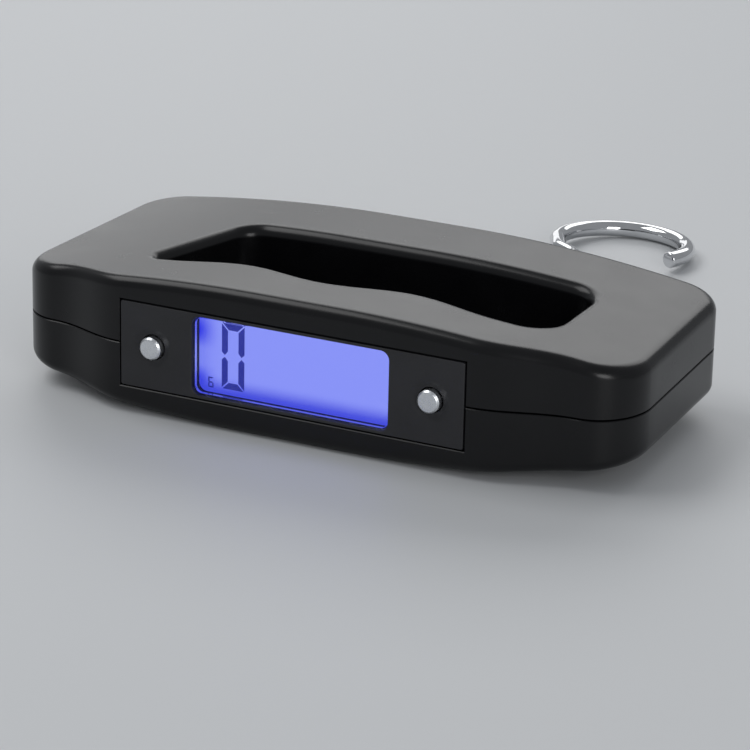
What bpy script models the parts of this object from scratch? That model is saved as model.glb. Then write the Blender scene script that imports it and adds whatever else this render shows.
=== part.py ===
"""Digital luggage scale: a grip frame with a backlit readout, a load cell, and a steel hook on a ring.

The frame lies on its back.  +X runs along its length, -Y is the edge with the readout, +Y is the
edge with the hook, and +Z is the front face.  All sizes below are in millimetres, with y measured
from the face of the display panel; place() turns them into the metres of the finished model, whose
origin is the middle of its footprint.  The frame is a little longer on its right, where the opening's
end is square, than on its left, where the opening's end slants.
"""
import math

import bmesh
import bpy
from mathutils import Matrix, Vector

# ---------------------------------------------------------------- driving dimensions (mm)
LEFT_CUT = 3.4
DEPTH = 66.0
THICKNESS = 31.0
MID_Z = THICKNESS / 2
WALL = 2.2
GAP = 0.3
EDGE_RADIUS = 2.5
CROWN_FLAT = 9.3
CROWN_RATE = 0.00135

PANEL_HALF = 39.5
SHOULDER_END = 62.0
SHOULDER_DROP = 4.8
NEAR_CORNER_Y = 17.4
SIDE_X_NEAR = 72.6
SIDE_X_FAR = 71.0
FAR_CORNER_RADIUS = 9.5
FAR_BOW = 1.2

OPENING_HALF = 50.2
OPENING_NEAR = 16.2
OPENING_FAR = 43.5
OPENING_WAVE = 3.0
WAVE_END = 40.0
OPENING_NEAR_RADIUS = 7.0
OPENING_FAR_RADIUS = 6.5
LEFT_WALL_NEAR = -41.2
LEFT_WALL_FAR = -32.0
LEFT_NEAR_RADIUS = 2.0
LEFT_FAR_RADIUS = 6.0
LEFT_WAVE_END = 38.0

PANEL_HEIGHT = 18.6
PANEL_PLATE = 2.5
FLANGE_THICK = 1.1
WINDOW_HALF = 22.6
WINDOW_HEIGHT = 17.2
WINDOW_RADIUS = 1.9
LENS_FRONT = 0.8
LENS_THICK = 1.2

LCD_FRONT = 3.9
LCD_THICK = 1.6
LCD_HALF = 24.0
LCD_HEIGHT = 19.4
BACKLIGHT_THICK = 2.2
BOARD_FRONT = 8.5
BOARD_THICK = 1.2
BOARD_HALF = 38.5
BOARD_HEIGHT = 20.0

BUTTON_X = 32.0
BUTTON_RADIUS = 2.5
BUTTON_PROUD = 1.3
BUTTON_FLANGE_RADIUS = 3.6
BUTTON_STEM_RADIUS = 1.4
DISH_RADIUS = 4.3
DISH_DEPTH = 0.55
SWITCH_HALF = 3.0
SWITCH_GAP = 0.9

BEAM_LEFT = -50.0
BEAM_RIGHT = 9.0
BEAM_NEAR = 47.3
BEAM_FAR = 57.3
BEAM_HEIGHT = 12.0
GAUGE_X = -20.0
FLEX_HOLE_RADIUS = 3.6
FLEX_HOLE_OUT = 4.5
CLAMP_SCREWS_X = (-45.0, -37.0)
CLAMP_SCREW_RADIUS = 2.0
CLAMP_SCREW_START = 4.2
GAUGE_COVER = (12.0, 0.8, 8.0)

BOLT_RADIUS = 2.5
NUT_RADIUS = 4.6
NUT_THICK = 3.0
BUSH_START = 61.6
BUSH_END = 67.8
BUSH_NECK = 5.2
BUSH_LIP = 6.6
EYE_Y = 75.2
EYE_RING = 5.0
EYE_WIRE = 1.9
LINK_RING = 8.0
LINK_WIRE = 1.5

HOOK_WIRE = 1.95
HOOK_EYE_RING = 5.0
HOOK_BEND = 15.7
BEND_START = 208
BEND_END = -17
HOOK_CENTRE = (12.3, 150.6)
REST_LIFT = 0.05

SIDES = (("left", -1), ("right", 1))
CELL_X = {"left": -58.2, "right": 61.6}
CELL_Z = 12.2
CELL_RADIUS = 5.2
CELL_NEAR = 14.2
SPRING_PLATE_Y = 9.2
CELL_LENGTH = 44.5
CELL_FAR = CELL_NEAR + CELL_LENGTH
CELL_PIP = (1.9, 0.9)
PLATE_HALF = 4.4
PLATE_THICK = 0.4
SPRING_COIL = (3.6, 2.4, 3.3)
SPRING_TURNS = 3.5
SPRING_WIRE = 0.3
LEAD_Z = CELL_Z + 6.8
LEAD_RADIUS = 0.6
DOOR_HALF = 6.6
DOOR_NEAR = 15.0
DOOR_FAR = 55.0

CASE_SCREWS = ((-46.0, 6.8), (46.0, 6.8), (-40.0, 60.6), (40.0, 60.6))
BOSS_RADIUS = 3.0
SCREW_RADIUS = 1.4
SCREW_HEAD_RADIUS = 2.5
SCREW_HEAD_UNDER = 6.9
SCREW_END = 20.0

# ---------------------------------------------------------------- hook pose, worked out from the above
SLIDE = math.radians(10.0)
EYE_HEIGHT = HOOK_EYE_RING + HOOK_WIRE + REST_LIFT
LINK_REACH = LINK_RING + LINK_RING * math.cos(SLIDE)
LINK_DROOP = math.asin((MID_Z - EYE_HEIGHT) / LINK_REACH)
HOOK_EYE = Vector((LINK_RING * math.sin(SLIDE), EYE_Y + LINK_REACH * math.cos(LINK_DROOP), EYE_HEIGHT))
HOOK_YAW = math.atan2(HOOK_CENTRE[0] - HOOK_EYE.x, HOOK_CENTRE[1] - HOOK_EYE.y)
HOOK_REACH = math.hypot(HOOK_CENTRE[0] - HOOK_EYE.x, HOOK_CENTRE[1] - HOOK_EYE.y)
HOOK_DROOP = math.atan2(EYE_HEIGHT - HOOK_WIRE - REST_LIFT, HOOK_REACH + HOOK_BEND)

FAR_END = HOOK_CENTRE[1] + HOOK_BEND + HOOK_WIRE
CENTRE_X = LEFT_CUT / 2
CENTRE_Y = (FAR_END - BUTTON_PROUD) / 2
MM = 0.001
MERGE = 0.00001


def place(x, y, z):
    """A point given in the design's millimetres, in the model's metres."""
    return Vector((x - CENTRE_X, y - CENTRE_Y, z)) * MM


# ---------------------------------------------------------------- scene, collections and materials
for old in list(bpy.data.objects):
    bpy.data.objects.remove(old, do_unlink=True)
PARTS = bpy.data.collections.new("luggage_scale")
CUTTERS = bpy.data.collections.new("luggage_scale_cutters")
for group in (PARTS, CUTTERS):
    bpy.context.scene.collection.children.link(group)


def pivot(name, point, holder=None):
    """An empty that pieces hang from; its point is in the model's metres."""
    empty = bpy.data.objects.new(name, None)
    empty.empty_display_size = 0.01
    empty.parent = holder
    empty["place"] = point
    empty.location = point - Vector(holder["place"]) if holder else point
    PARTS.objects.link(empty)
    return empty


HOUSING = pivot("housing_pivot", Vector((0, 0, 0)))
RING_PIVOT = pivot("ring_pivot", place(0, EYE_Y, MID_Z), HOUSING)
HOOK_PIVOT = pivot("hook_pivot", place(*HOOK_EYE), RING_PIVOT)


def material(name, colour, roughness=0.5, metallic=0.0):
    mat = bpy.data.materials.new(name)
    mat.use_nodes = True
    shader = mat.node_tree.nodes["Principled BSDF"]
    shader.inputs["Base Color"].default_value = (*colour, 1.0)
    shader.inputs["Roughness"].default_value = roughness
    shader.inputs["Metallic"].default_value = metallic
    return mat


def add_object(name, bm, mat=None, cutter=False, holder=HOUSING):
    """Turn a bmesh into a named object with its origin in its middle, hung from its holder."""
    low, high = (Vector([pick(v.co[i] for v in bm.verts) for i in range(3)]) for pick in (min, max))
    middle = (low + high) / 2
    bmesh.ops.translate(bm, vec=-middle, verts=bm.verts)
    bmesh.ops.recalc_face_normals(bm, faces=bm.faces)
    mesh = bpy.data.meshes.new(name)
    bm.to_mesh(mesh)
    bm.free()
    obj = bpy.data.objects.new(name, mesh)
    obj.parent = holder
    obj.location = middle - Vector(holder["place"])
    if cutter:
        obj.hide_render = True
        obj.display_type = "WIRE"
        CUTTERS.objects.link(obj)
    else:
        mesh.materials.append(material(name + "_finish", *mat))
        mesh.shade_smooth()
        mesh.set_sharp_from_angle(angle=math.radians(35))
        PARTS.objects.link(obj)
    return obj


def boolean(target, cutter, operation="DIFFERENCE"):
    step = target.modifiers.new(cutter.name, "BOOLEAN")
    step.object = cutter
    step.operation = operation
    step.solver = "EXACT"


# ---------------------------------------------------------------- simple solids
def box_mesh(low, high, bevel=0.0):
    bm = bmesh.new()
    size = [b - a for a, b in zip(low, high)]
    middle = [(a + b) / 2 for a, b in zip(low, high)]
    form = Matrix.Translation(place(*middle)) @ Matrix.Diagonal((*size, 1.0))
    bmesh.ops.create_cube(bm, size=MM, matrix=form)
    if bevel:
        bmesh.ops.bevel(bm, geom=bm.edges[:], offset=bevel * MM, segments=1, profile=0.5, affect="EDGES")
    return bm


def box(name, low, high, mat, bevel=0.0):
    return add_object(name, box_mesh(low, high, bevel), mat)


def box_cutter(name, low, high):
    return add_object(name, box_mesh(low, high), cutter=True)


def turned_mesh(profile, centre, axis, sides=24):
    """Spin (radius, height) pairs about an axis through centre; heights run along the axis."""
    bm = bmesh.new()
    ring = [bm.verts.new((r * MM, 0.0, h * MM)) for r, h in profile]
    edges = [bm.edges.new(pair) for pair in zip(ring, ring[1:])]
    bmesh.ops.spin(bm, geom=ring + edges, axis=(0, 0, 1), cent=(0, 0, 0), angle=2 * math.pi,
                   steps=sides, use_merge=True)
    bmesh.ops.remove_doubles(bm, verts=bm.verts, dist=MERGE)
    turn = Vector((0, 0, 1)).rotation_difference(Vector(axis)).to_matrix().to_4x4()
    bmesh.ops.transform(bm, matrix=Matrix.Translation(place(*centre)) @ turn, verts=bm.verts)
    return bm


def turned(name, profile, centre, axis, mat, sides=24):
    return add_object(name, turned_mesh(profile, centre, axis, sides), mat)


def rod_profile(radius, start, end):
    return [(0, end), (radius, end), (radius, start), (0, start)]


def rod_cutter(name, centre, axis, radius, start, end, sides=24):
    return add_object(name, turned_mesh(rod_profile(radius, start, end), centre, axis, sides), cutter=True)


def rounded_slab_mesh(half_x, low_z, high_z, front, back, radius):
    """An upright slab facing -Y, with its four corners rounded."""
    bm = box_mesh((-half_x, front, low_z), (half_x, back, high_z))
    corners = [e for e in bm.edges if abs(e.verts[0].co.y - e.verts[1].co.y) > 0.0001]
    bmesh.ops.bevel(bm, geom=corners, offset=radius * MM, segments=4, profile=0.5, affect="EDGES")
    return bm


def tube(name, points, radius, mat, resolution=2, holder=HOUSING):
    """A wire along a list of points, as one closed mesh."""
    data = bpy.data.curves.new(name, "CURVE")
    data.dimensions = "3D"
    data.bevel_depth = radius * MM
    data.bevel_resolution = resolution
    data.use_fill_caps = True
    spline = data.splines.new("POLY")
    spline.points.add(len(points) - 1)
    for point, co in zip(spline.points, points):
        point.co = (*place(*co), 1.0)
    wire = bpy.data.objects.new(name + "_path", data)
    PARTS.objects.link(wire)
    bpy.context.view_layer.update()
    evaluated = wire.evaluated_get(bpy.context.evaluated_depsgraph_get())
    mesh = bpy.data.meshes.new_from_object(evaluated)
    bm = bmesh.new()
    bm.from_mesh(mesh)
    bpy.data.objects.remove(wire, do_unlink=True)
    bmesh.ops.remove_doubles(bm, verts=bm.verts, dist=MERGE)
    return add_object(name, bm, mat, holder=holder)


def smooth_route(knots, per_span=5):
    """Points on a Catmull-Rom curve through the knots."""
    ends = [Vector(k) for k in knots]
    ends = [2 * ends[0] - ends[1]] + ends + [2 * ends[-1] - ends[-2]]
    route = []
    for a, b, c, d in zip(ends, ends[1:], ends[2:], ends[3:]):
        for step in range(per_span):
            t = step / per_span
            route.append(0.5 * (2 * b + (c - a) * t + (2 * a - 5 * b + 4 * c - d) * t ** 2
                                + (3 * b - a - 3 * c + d) * t ** 3))
    return route + [ends[-2]]


# ---------------------------------------------------------------- outline of the grip frame
def arc(centre, radius_x, radius_y, start, end, steps):
    """Points on an elliptical arc, angles in degrees, the first point left out."""
    angles = [math.radians(start + (end - start) * i / steps) for i in range(1, steps + 1)]
    return [(centre[0] + radius_x * math.cos(a), centre[1] + radius_y * math.sin(a)) for a in angles]


def spread(start, end, steps):
    return [(start[0] + (end[0] - start[0]) * i / steps, start[1] + (end[1] - start[1]) * i / steps)
            for i in range(1, steps + 1)]


def rounded_corner(before, corner, after, radius, steps):
    """Points round one corner of an outline, on the arc that touches both of its sides."""
    corner = Vector(corner)
    back = (Vector(before) - corner).normalized()
    on = (Vector(after) - corner).normalized()
    half_angle = back.angle(on) / 2
    middle = corner + (back + on).normalized() * radius / math.sin(half_angle)
    start = corner + back * radius / math.tan(half_angle) - middle
    turn = Matrix.Rotation((math.pi - 2 * half_angle) / steps, 2)
    points = [start]
    for _ in range(steps):
        points.append(turn @ points[-1])
    return [tuple(middle + point) for point in points]


def joined(right, left):
    """Close an outline from its two halves, each of which starts and ends on x = 0."""
    return right + list(reversed(left[1:-1]))


def half_body(cut):
    """The right half of the frame's outline, with its end cut short."""
    flat_end = PANEL_HALF + 0.5
    shoulder_end = SHOULDER_END - cut
    half = [(0.0, 0.0)] + spread((0, 0), (flat_end, 0), 5)
    for i in range(1, 6):
        t = i / 5
        x = flat_end + t * (shoulder_end - flat_end)
        half.append((x, SHOULDER_DROP * (1 - math.cos(math.pi * t)) / 2))
    half += arc((shoulder_end, NEAR_CORNER_Y), SIDE_X_NEAR - SHOULDER_END,
                NEAR_CORNER_Y - SHOULDER_DROP, -90, 0, 7)
    far_y = DEPTH - FAR_BOW
    corner = (SIDE_X_FAR - cut - FAR_CORNER_RADIUS, far_y - FAR_CORNER_RADIUS)
    half += spread(half[-1], (SIDE_X_FAR - cut, corner[1]), 3)
    half += arc(corner, FAR_CORNER_RADIUS, FAR_CORNER_RADIUS, 0, 90, 6)
    for i in range(1, 8):
        x = corner[0] * (1 - i / 7)
        half.append((x, DEPTH - FAR_BOW * (x / corner[0]) ** 2))
    return half


def body_outline():
    return joined(half_body(0.0), [(-x, y) for x, y in half_body(LEFT_CUT)])


def opening_near_edge(wave_end):
    """The opening's near edge from x = 0 to where its wave ends."""
    return [(wave_end * i / 8, OPENING_NEAR + OPENING_WAVE * math.sin(math.pi * i / 8) ** 2)
            for i in range(9)]


def opening_outline():
    right = opening_near_edge(WAVE_END)
    near = (OPENING_HALF - OPENING_NEAR_RADIUS, OPENING_NEAR + OPENING_NEAR_RADIUS)
    far = (OPENING_HALF - OPENING_FAR_RADIUS, OPENING_FAR - OPENING_FAR_RADIUS)
    right += arc(near, OPENING_NEAR_RADIUS, OPENING_NEAR_RADIUS, -90, 0, 5)
    right += spread(right[-1], (OPENING_HALF, far[1]), 2)
    right += arc(far, OPENING_FAR_RADIUS, OPENING_FAR_RADIUS, 0, 90, 5)
    right += spread(right[-1], (0, OPENING_FAR), 6)

    near_corner = (LEFT_WALL_NEAR, OPENING_NEAR)
    far_corner = (LEFT_WALL_FAR, OPENING_FAR)
    far_arc = rounded_corner((0, OPENING_FAR), far_corner, near_corner, LEFT_FAR_RADIUS, 5)
    near_arc = rounded_corner(far_corner, near_corner, (0, OPENING_NEAR), LEFT_NEAR_RADIUS, 5)
    left = [(-x, y) for x, y in opening_near_edge(LEFT_WAVE_END)[:-1]]
    left += reversed(near_arc)
    left += spread(near_arc[0], far_arc[-1], 2)
    left += reversed(far_arc[:-1])
    left += spread(far_arc[0], (0, OPENING_FAR), 5)
    return joined(right, left)


def offset(loop, distance):
    """Move a closed anticlockwise outline sideways; a positive distance grows it."""
    moved = []
    for before, point, after in zip(loop[-1:] + loop[:-1], loop, loop[1:] + loop[:1]):
        first = (Vector(point) - Vector(before)).normalized()
        second = (Vector(after) - Vector(point)).normalized()
        along = (first + second).normalized()
        out = Vector((along.y, -along.x))
        moved.append(tuple(Vector(point) + out * distance / max(along.dot(first), 0.5)))
    return moved


def crown_drop(x):
    """How far the front and back faces fall towards the frame's ends."""
    return CROWN_RATE * max(0.0, abs(x) - CROWN_FLAT) ** 2


def frame_form(name, inset, radius, segments):
    """The closed shape of the whole grip frame, shrunk by inset, with rounded rims."""
    angles = [math.pi / 2 * i / segments for i in range(segments + 1)]
    rows = [(-1, angle) for angle in reversed(angles)] + [(1, angle) for angle in angles]
    bm = bmesh.new()
    rims = {-1: [], 1: []}
    for loop, side in ((body_outline(), -1), (opening_outline(), 1)):
        previous = None
        for end, angle in rows:
            verts = []
            for x, y in offset(loop, side * (inset + radius * (1 - math.cos(angle)))):
                half = MID_Z - crown_drop(x) - inset - radius * (1 - math.sin(angle))
                verts.append(bm.verts.new(place(x, y, MID_Z + end * half)))
            following = verts[1:] + verts[:1]
            if previous:
                for a, b, c, d in zip(previous, previous[1:] + previous[:1], following, verts):
                    bm.faces.new((a, b, c, d))
            if angle == angles[-1]:
                rims[end] += [bm.edges.get(pair) or bm.edges.new(pair) for pair in zip(verts, following)]
            previous = verts
    for edges in rims.values():
        bmesh.ops.triangle_fill(bm, edges=edges, use_beauty=True)
    for cut_x in (-67.0, -61.5, -56.0, 56.0, 61.5, 67.0):
        cut = bmesh.ops.bisect_plane(bm, geom=bm.verts[:] + bm.edges[:] + bm.faces[:], dist=0.000001,
                                     plane_co=place(cut_x, 0, 0), plane_no=(1, 0, 0))
        bm.normal_update()
        for vert in (g for g in cut["geom_cut"] if isinstance(g, bmesh.types.BMVert)):
            if all(abs(face.normal.z) > 0.9 for face in vert.link_faces):
                half = MID_Z - crown_drop(vert.co.x / MM + CENTRE_X) - inset
                vert.co.z = (MID_Z + math.copysign(half, vert.co.z - MID_Z * MM)) * MM
    return add_object(name, bm, cutter=True)


# ---------------------------------------------------------------- finishes
BLACK_ABS = ((0.012, 0.012, 0.014), 0.42)
PANEL_BLACK = ((0.018, 0.018, 0.021), 0.55)
CHROME = ((0.80, 0.80, 0.81), 0.12, 1.0)
STEEL = ((0.55, 0.55, 0.56), 0.3, 1.0)
ALUMINIUM = ((0.72, 0.72, 0.73), 0.38, 1.0)
LENS = ((0.10, 0.11, 0.35), 0.08)
GLASS = ((0.16, 0.18, 0.75), 0.1)
DIFFUSER = ((0.35, 0.38, 0.95), 0.5)
WHITE_PLASTIC = ((0.75, 0.75, 0.72), 0.5)
RUBBER = ((0.02, 0.02, 0.02), 0.8)
BOARD_GREEN = ((0.02, 0.14, 0.06), 0.45)
EPOXY = ((0.01, 0.01, 0.01), 0.35)
CELL_JACKET = ((0.08, 0.16, 0.30), 0.35)
SILICONE = ((0.80, 0.80, 0.76), 0.6)
LEAD_RED = ((0.45, 0.02, 0.02), 0.45)
LEAD_BLACK = ((0.02, 0.02, 0.02), 0.45)
LEAD_GREY = ((0.30, 0.30, 0.32), 0.5)

Z_AXIS = (0, 0, 1)
Y_AXIS = (0, 1, 0)


# ---------------------------------------------------------------- shells
def boss_cutters():
    """One set of cylinders for each case screw: its post, its clearance hole and its head well."""
    posts, holes, wells = [], [], []
    for number, (x, y) in enumerate(CASE_SCREWS, start=1):
        low = crown_drop(x) + WALL / 2
        foot = (x, y, 0)
        posts.append(rod_cutter(f"post_{number}", foot, Z_AXIS, BOSS_RADIUS, low, THICKNESS - low, 16))
        holes.append(rod_cutter(f"hole_{number}", foot, Z_AXIS, SCREW_RADIUS + GAP,
                                WALL, SCREW_END + 4.5, 12))
        wells.append(rod_cutter(f"well_{number}", foot, Z_AXIS, SCREW_HEAD_RADIUS + GAP,
                                -1.0, SCREW_HEAD_UNDER + GAP, 16))
    return posts, holes, wells


def shells():
    outer = frame_form("outer_form", 0.0, EDGE_RADIUS, 3)
    inner = frame_form("inner_form", WALL, 0.8, 1)
    posts, holes, wells = boss_cutters()
    half_panel = PANEL_HEIGHT / 2
    shared = [
        box_cutter("panel_gap", (-PANEL_HALF - GAP, -3, MID_Z - half_panel - GAP),
                   (PANEL_HALF + GAP, WALL + 0.6, MID_Z + half_panel + GAP)),
        rod_cutter("bush_hole", (0, 0, MID_Z), Y_AXIS, BUSH_NECK + GAP, BUSH_START - 0.6, DEPTH + 4),
    ]
    pedestal = box_cutter("beam_pedestal", (BEAM_LEFT - 0.5, OPENING_FAR + 1, WALL / 2),
                          (CLAMP_SCREWS_X[1] + 5.5, BEAM_FAR, MID_Z - BEAM_HEIGHT / 2 - GAP))
    beam_holes = [rod_cutter(f"pedestal_hole_{x:.0f}", (x, (BEAM_NEAR + BEAM_FAR) / 2, 0), Z_AXIS,
                             CLAMP_SCREW_RADIUS + GAP, CLAMP_SCREW_START - 0.6, 14.0, 12)
                  for x in CLAMP_SCREWS_X]
    doors = [box_cutter(f"door_gap_{side}", (x - DOOR_HALF, DOOR_NEAR, -2.0),
                        (x + DOOR_HALF, DOOR_FAR, 9.0)) for side, x in CELL_X.items()]
    halves = {
        "front_shell": (-5.0, MID_Z + GAP / 2),
        "back_shell": (MID_Z - GAP / 2, THICKNESS + 5),
    }
    for name, (low, high) in halves.items():
        shell = add_object(name, bmesh_copy(outer), BLACK_ABS)
        boolean(shell, inner)
        for post in posts:
            boolean(shell, post, "UNION")
        if name == "back_shell":
            boolean(shell, pedestal, "UNION")
        waste = box_cutter(f"waste_{name}", (-90, -10, low), (90, 90, high))
        extra = wells + beam_holes + doors if name == "back_shell" else []
        for cutter in [waste] + holes + shared + extra:
            boolean(shell, cutter)
    for side, x in CELL_X.items():
        battery_door(side, x, outer, inner)


def bmesh_copy(obj):
    bm = bmesh.new()
    bm.from_mesh(obj.data)
    bmesh.ops.translate(bm, vec=obj.location, verts=bm.verts)
    return bm


def battery_door(side, x, outer, inner):
    """A piece of the back wall over one cell, which follows the wall's curve."""
    door = add_object(f"battery_door_{side}", bmesh_copy(outer), BLACK_ABS)
    boolean(door, inner)
    keep = box_cutter(f"door_block_{side}",
                      (x - DOOR_HALF + GAP, DOOR_NEAR + GAP, -2.0),
                      (x + DOOR_HALF - GAP, DOOR_FAR - GAP, 8.0))
    boolean(door, keep, "INTERSECT")


# ---------------------------------------------------------------- display group
def display_group():
    half = PANEL_HEIGHT / 2
    bm = box_mesh((-PANEL_HALF, 0, MID_Z - half), (PANEL_HALF, PANEL_PLATE + 0.2, MID_Z + half), 0.15)
    panel = add_object("display_panel", bm, PANEL_BLACK)
    flange = box_cutter("panel_flange", (-PANEL_HALF - 1.6, PANEL_PLATE, MID_Z - half - 1.4),
                        (PANEL_HALF + 1.6, PANEL_PLATE + FLANGE_THICK, MID_Z + half + 1.4))
    boolean(panel, flange, "UNION")
    window = rounded_slab_mesh(WINDOW_HALF, MID_Z - WINDOW_HEIGHT / 2, MID_Z + WINDOW_HEIGHT / 2,
                               -2, 6, WINDOW_RADIUS)
    boolean(panel, add_object("window_hole", window, cutter=True))
    dish_ball = (DISH_RADIUS ** 2 + DISH_DEPTH ** 2) / (2 * DISH_DEPTH)
    hole = BUTTON_RADIUS + GAP
    dish = [(0, 6), (hole, 6)]
    for i in range(4):
        radius = hole + (DISH_RADIUS - hole) * i / 3
        dish.append((radius, DISH_DEPTH - dish_ball + math.sqrt(dish_ball ** 2 - radius ** 2)))
    dish += [(DISH_RADIUS, -1), (0, -1)]
    for side, sx in SIDES:
        hollow = turned_mesh(dish, (sx * BUTTON_X, 0, MID_Z), Y_AXIS)
        boolean(panel, add_object(f"button_hole_{side}", hollow, cutter=True))

    lens_half = WINDOW_HEIGHT / 2 - GAP
    lens = rounded_slab_mesh(WINDOW_HALF - GAP, MID_Z - lens_half, MID_Z + lens_half,
                             LENS_FRONT, LENS_FRONT + LENS_THICK, WINDOW_RADIUS - GAP)
    add_object("lcd_window", lens, LENS)

    lcd_half = LCD_HEIGHT / 2
    lcd_back = LCD_FRONT + LCD_THICK
    light_back = lcd_back + GAP + BACKLIGHT_THICK
    low = MID_Z - lcd_half
    box("lcd_glass", (-LCD_HALF, LCD_FRONT, low), (LCD_HALF, lcd_back, MID_Z + lcd_half), GLASS, 0.1)
    box("backlight_diffuser", (-LCD_HALF + 0.6, lcd_back + GAP, low + 3.0),
        (LCD_HALF - 0.6, light_back, MID_Z + lcd_half - 0.4), DIFFUSER, 0.2)
    box("contact_strip", (-LCD_HALF + 1.2, lcd_back + GAP, low + 0.5),
        (LCD_HALF - 1.2, BOARD_FRONT - GAP, low + 2.5), RUBBER, 0.2)
    holder_mesh = box_mesh((-LCD_HALF - 2.2, LCD_FRONT, low - 1.4),
                           (LCD_HALF + 2.2, BOARD_FRONT - GAP, MID_Z + lcd_half + 1.4), 0.2)
    holder = add_object("lcd_holder", holder_mesh, WHITE_PLASTIC)
    boolean(holder, box_cutter("holder_pocket", (-LCD_HALF - GAP, 2, low - GAP),
                               (LCD_HALF + GAP, 10, MID_Z + lcd_half + GAP)))

    box("main_board", (-BOARD_HALF, BOARD_FRONT, MID_Z - BOARD_HEIGHT / 2),
        (BOARD_HALF, BOARD_FRONT + BOARD_THICK, MID_Z + BOARD_HEIGHT / 2), BOARD_GREEN)
    chip_front = BOARD_FRONT + BOARD_THICK + GAP
    turned("controller_chip", [(0, 1.5), (3.2, 1.2), (5.0, 0.5), (5.2, 0), (0, 0)],
           (0, chip_front, MID_Z), Y_AXIS, EPOXY)
    box("amplifier_chip", (-22.5, chip_front, MID_Z - 2.0),
        (-17.5, chip_front + 1.4, MID_Z + 2.0), EPOXY, 0.2)


def button_group(name, x):
    """A metal cap with a retaining flange, whose stem enters the well of its switch."""
    flange_front = PANEL_PLATE + FLANGE_THICK + GAP
    flange_back = flange_front + 0.7
    stem_end = flange_back + 2.0
    profile = [(0, stem_end), (BUTTON_STEM_RADIUS, stem_end), (BUTTON_STEM_RADIUS, flange_back),
               (BUTTON_FLANGE_RADIUS, flange_back), (BUTTON_FLANGE_RADIUS, flange_front),
               (BUTTON_RADIUS, flange_front), (BUTTON_RADIUS, 0.45 - BUTTON_PROUD),
               (BUTTON_RADIUS - 0.15, 0.2 - BUTTON_PROUD), (BUTTON_RADIUS - 0.45, -BUTTON_PROUD),
               (0, -BUTTON_PROUD)]
    turned(f"{name}_button", profile, (x, 0, MID_Z), Y_AXIS, CHROME)
    front = flange_back + SWITCH_GAP
    switch = box(f"{name}_switch", (x - SWITCH_HALF, front, MID_Z - SWITCH_HALF),
                 (x + SWITCH_HALF, BOARD_FRONT - GAP, MID_Z + SWITCH_HALF), EPOXY, 0.25)
    boolean(switch, rod_cutter(f"{name}_switch_well", (x, 0, MID_Z), Y_AXIS,
                               BUTTON_STEM_RADIUS + GAP, front - 1, stem_end + SWITCH_GAP, 16))


# ---------------------------------------------------------------- load cell and its fastenings
def load_cell_group():
    middle = (BEAM_NEAR + BEAM_FAR) / 2
    low, high = MID_Z - BEAM_HEIGHT / 2, MID_Z + BEAM_HEIGHT / 2
    beam = box("load_cell", (BEAM_LEFT, BEAM_NEAR, low), (BEAM_RIGHT, BEAM_FAR, high), ALUMINIUM, 0.3)
    for offset_x in (-FLEX_HOLE_OUT, FLEX_HOLE_OUT):
        boolean(beam, rod_cutter(f"flex_hole_{offset_x:+.0f}", (GAUGE_X + offset_x, middle, 0), Z_AXIS,
                                 FLEX_HOLE_RADIUS, low - 1, high + 1))
    boolean(beam, box_cutter("flex_slot", (GAUGE_X - FLEX_HOLE_OUT, middle - 0.8, low - 1),
                             (GAUGE_X + FLEX_HOLE_OUT, middle + 0.8, high + 1)))
    boolean(beam, rod_cutter("bolt_hole", (0, 0, MID_Z), Y_AXIS, BOLT_RADIUS + GAP,
                             BEAM_NEAR - 1, BEAM_FAR + 1))
    head = high + GAP
    screw_profile = [(0, head + 2.2), (2.4, head + 2.2), (3.4, head + 1.3), (3.4, head),
                     (CLAMP_SCREW_RADIUS, head), (CLAMP_SCREW_RADIUS, CLAMP_SCREW_START),
                     (0, CLAMP_SCREW_START)]
    for number, x in enumerate(CLAMP_SCREWS_X, start=1):
        boolean(beam, rod_cutter(f"clamp_hole_{number}", (x, middle, 0), Z_AXIS, CLAMP_SCREW_RADIUS + GAP,
                                 low - 1, high + 1, 12))
        turned(f"load_cell_screw_{number}", screw_profile, (x, middle, 0), Z_AXIS, STEEL, 16)
    length, thick, height = GAUGE_COVER
    for name, near in (("near", BEAM_NEAR - GAP - thick), ("far", BEAM_FAR + GAP)):
        box(f"gauge_cover_{name}", (GAUGE_X - length / 2, near, MID_Z - height / 2),
            (GAUGE_X + length / 2, near + thick, MID_Z + height / 2), SILICONE, 0.2)

    on_bolt = (0, 0, MID_Z)
    nut_near = BEAM_FAR + GAP
    nut_far = nut_near + NUT_THICK
    nut_profile = [(0, nut_far), (NUT_RADIUS - 0.6, nut_far), (NUT_RADIUS, nut_far - 0.4),
                   (NUT_RADIUS, nut_near + 0.4), (NUT_RADIUS - 0.6, nut_near), (0, nut_near)]
    nut = turned("bolt_nut", nut_profile, on_bolt, Y_AXIS, STEEL, 6)
    boolean(nut, rod_cutter("nut_hole", on_bolt, Y_AXIS, BOLT_RADIUS + GAP, nut_near - 1, nut_far + 1))

    bush_profile = [(0, BUSH_END), (BUSH_LIP - 0.4, BUSH_END), (BUSH_LIP, BUSH_END - 0.4),
                    (BUSH_LIP, DEPTH + GAP), (BUSH_NECK, DEPTH + GAP), (BUSH_NECK, BUSH_START),
                    (0, BUSH_START)]
    bush = turned("bolt_bush", bush_profile, on_bolt, Y_AXIS, RUBBER)
    boolean(bush, rod_cutter("bush_bore", on_bolt, Y_AXIS, BOLT_RADIUS + 0.4, BUSH_START - 1, BUSH_END + 1))

    bolt = turned("eye_bolt", rod_profile(BOLT_RADIUS, BEAM_NEAR + 1.0, EYE_Y - EYE_RING + 0.6),
                  on_bolt, Y_AXIS, STEEL)
    boolean(bolt, torus_cutter("bolt_eye", (0, EYE_Y, MID_Z), (1, 0, 0), EYE_RING, EYE_WIRE), "UNION")


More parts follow.
